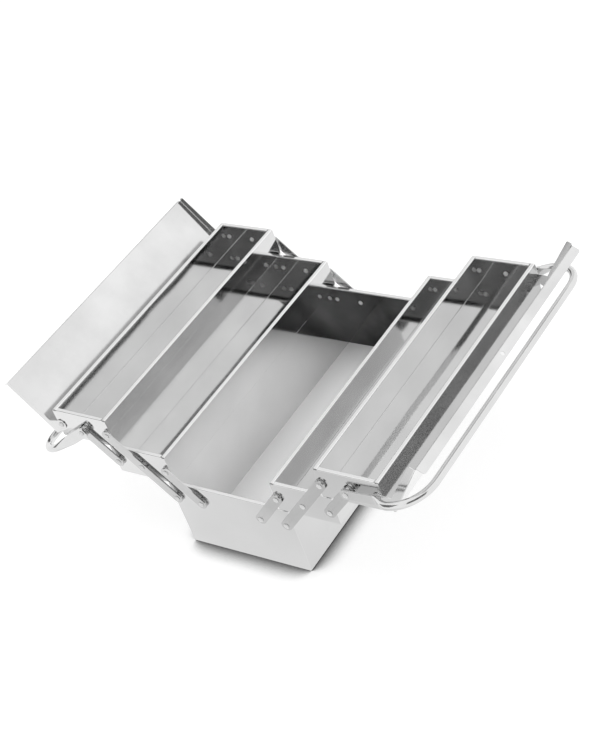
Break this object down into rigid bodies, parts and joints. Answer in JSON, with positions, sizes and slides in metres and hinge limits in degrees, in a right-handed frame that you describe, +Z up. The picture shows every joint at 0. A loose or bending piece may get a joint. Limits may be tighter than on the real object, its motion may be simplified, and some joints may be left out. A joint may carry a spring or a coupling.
{
  "type": "cantilever tool box",
  "caption": "Cantilever tool box of polished sheet steel: a base, trays that swing out on parallel links, folding lids and bent tube carrying handles, shown open.",
  "frame": {"origin": "middle of the underside of the base, which stands on the bench", "axes": "+Z up, +X across the box to the right-hand trays, +Y along the compartments to the far end"},
  "size_m": [0.6908, 0.4752, 0.2528],
  "materials": {
    "sheet": "mirror-polished stainless sheet",
    "link": "satin flat bar",
    "rivet": "satin",
    "washer": "satin",
    "tube": "polished tube"
  },
  "bodies": {
    "base": {"base_trough": "sheet", "base_end_near": "sheet", "base_end_far": "sheet", "base_rivets": "rivet", "base_washers": "washer"},
    "mid_left": {"mid_left_trough": "sheet", "mid_left_end_near": "sheet", "mid_left_end_far": "sheet", "mid_left_rivets": "rivet", "mid_left_washers": "washer"},
    "top_left": {"top_left_trough": "sheet", "top_left_end_near": "sheet", "top_left_end_far": "sheet", "top_left_rivets": "rivet", "top_left_washers": "washer"},
    "left_long_links": {"long_link_left_near": "link", "long_link_left_far": "link"},
    "left_lower_links": {"lower_link_left_near": "link", "lower_link_left_far": "link"},
    "left_upper_links": {"upper_link_left_near": "link", "upper_link_left_far": "link"},
    "lid_left": {"lid_left": "sheet"},
    "handle_left": {"handle_left": "tube"},
    "mid_right": {"mid_right_trough": "sheet", "mid_right_end_near": "sheet", "mid_right_end_far": "sheet", "mid_right_rivets": "rivet", "mid_right_washers": "washer"},
    "top_right": {"top_right_trough": "sheet", "top_right_end_near": "sheet", "top_right_end_far": "sheet", "top_right_rivets": "rivet", "top_right_washers": "washer"},
    "right_long_links": {"long_link_right_near": "link", "long_link_right_far": "link"},
    "right_lower_links": {"lower_link_right_near": "link", "lower_link_right_far": "link"},
    "right_upper_links": {"upper_link_right_near": "link", "upper_link_right_far": "link"},
    "lid_right": {"lid_right": "sheet"},
    "handle_right": {"handle_right": "tube"}
  },
  "joints": [
    {"name": "left_swing", "type": "hinge", "parent": "base", "child": "left_long_links", "pos_m": [-0.0922, 0, 0.0881], "axis": [0, 1, 0], "range_deg": [0, 82.49]},
    {"name": "left_mid_level", "type": "hinge", "parent": "left_long_links", "child": "mid_left", "pos_m": [-0.1342, 0, 0.136], "axis": [0, 1, 0], "range_deg": [-82.49, 0]},
    {"name": "left_top_level", "type": "hinge", "parent": "left_long_links", "child": "top_left", "pos_m": [-0.1762, 0, 0.1839], "axis": [0, 1, 0], "range_deg": [-82.49, 0]},
    {"name": "left_lower_link_swing", "type": "hinge", "parent": "base", "child": "left_lower_links", "pos_m": [-0.0502, 0, 0.0881], "axis": [0, 1, 0], "range_deg": [0, 82.49]},
    {"name": "left_upper_link_swing", "type": "hinge", "parent": "mid_left", "child": "left_upper_links", "pos_m": [-0.1762, 0, 0.136], "axis": [0, 1, 0], "range_deg": [0, 82.49]},
    {"name": "left_lid_hinge", "type": "hinge", "parent": "top_left", "child": "lid_left", "pos_m": [-0.2617, 0, 0.1839], "axis": [0, 1, 0], "range_deg": [0, 126]},
    {"name": "left_handle_hinge", "type": "hinge", "parent": "top_left", "child": "handle_left", "pos_m": [-0.2182, 0, 0.1839], "axis": [0, 1, 0], "range_deg": [0, 140.3]},
    {"name": "right_swing", "type": "hinge", "parent": "base", "child": "right_long_links", "pos_m": [0.0922, 0, 0.0881], "axis": [0, -1, 0], "range_deg": [0, 82.49]},
    {"name": "right_mid_level", "type": "hinge", "parent": "right_long_links", "child": "mid_right", "pos_m": [0.1342, 0, 0.136], "axis": [0, -1, 0], "range_deg": [-82.49, 0]},
    {"name": "right_top_level", "type": "hinge", "parent": "right_long_links", "child": "top_right", "pos_m": [0.1762, 0, 0.1839], "axis": [0, -1, 0], "range_deg": [-82.49, 0]},
    {"name": "right_lower_link_swing", "type": "hinge", "parent": "base", "child": "right_lower_links", "pos_m": [0.0502, 0, 0.0881], "axis": [0, -1, 0], "range_deg": [0, 82.49]},
    {"name": "right_upper_link_swing", "type": "hinge", "parent": "mid_right", "child": "right_upper_links", "pos_m": [0.1762, 0, 0.136], "axis": [0, -1, 0], "range_deg": [0, 82.49]},
    {"name": "right_lid_hinge", "type": "hinge", "parent": "top_right", "child": "lid_right", "pos_m": [0.2617, 0, 0.1839], "axis": [0, -1, 0], "range_deg": [0, 121]},
    {"name": "right_handle_hinge", "type": "hinge", "parent": "top_right", "child": "handle_right", "pos_m": [0.2182, 0, 0.1839], "axis": [0, -1, 0], "range_deg": [0, 102.8]}
  ],
  "couplings": [
    {"joint": "left_mid_level", "follows": "left_swing", "ratio": -1},
    {"joint": "left_top_level", "follows": "left_swing", "ratio": -1},
    {"joint": "left_lower_link_swing", "follows": "left_swing", "ratio": 1},
    {"joint": "left_upper_link_swing", "follows": "left_swing", "ratio": 1},
    {"joint": "left_handle_hinge", "follows": "left_lid_hinge", "ratio": 1.1134},
    {"joint": "right_mid_level", "follows": "right_swing", "ratio": -1},
    {"joint": "right_top_level", "follows": "right_swing", "ratio": -1},
    {"joint": "right_lower_link_swing", "follows": "right_swing", "ratio": 1},
    {"joint": "right_upper_link_swing", "follows": "right_swing", "ratio": 1},
    {"joint": "right_handle_hinge", "follows": "right_lid_hinge", "ratio": 0.8495}
  ]
}
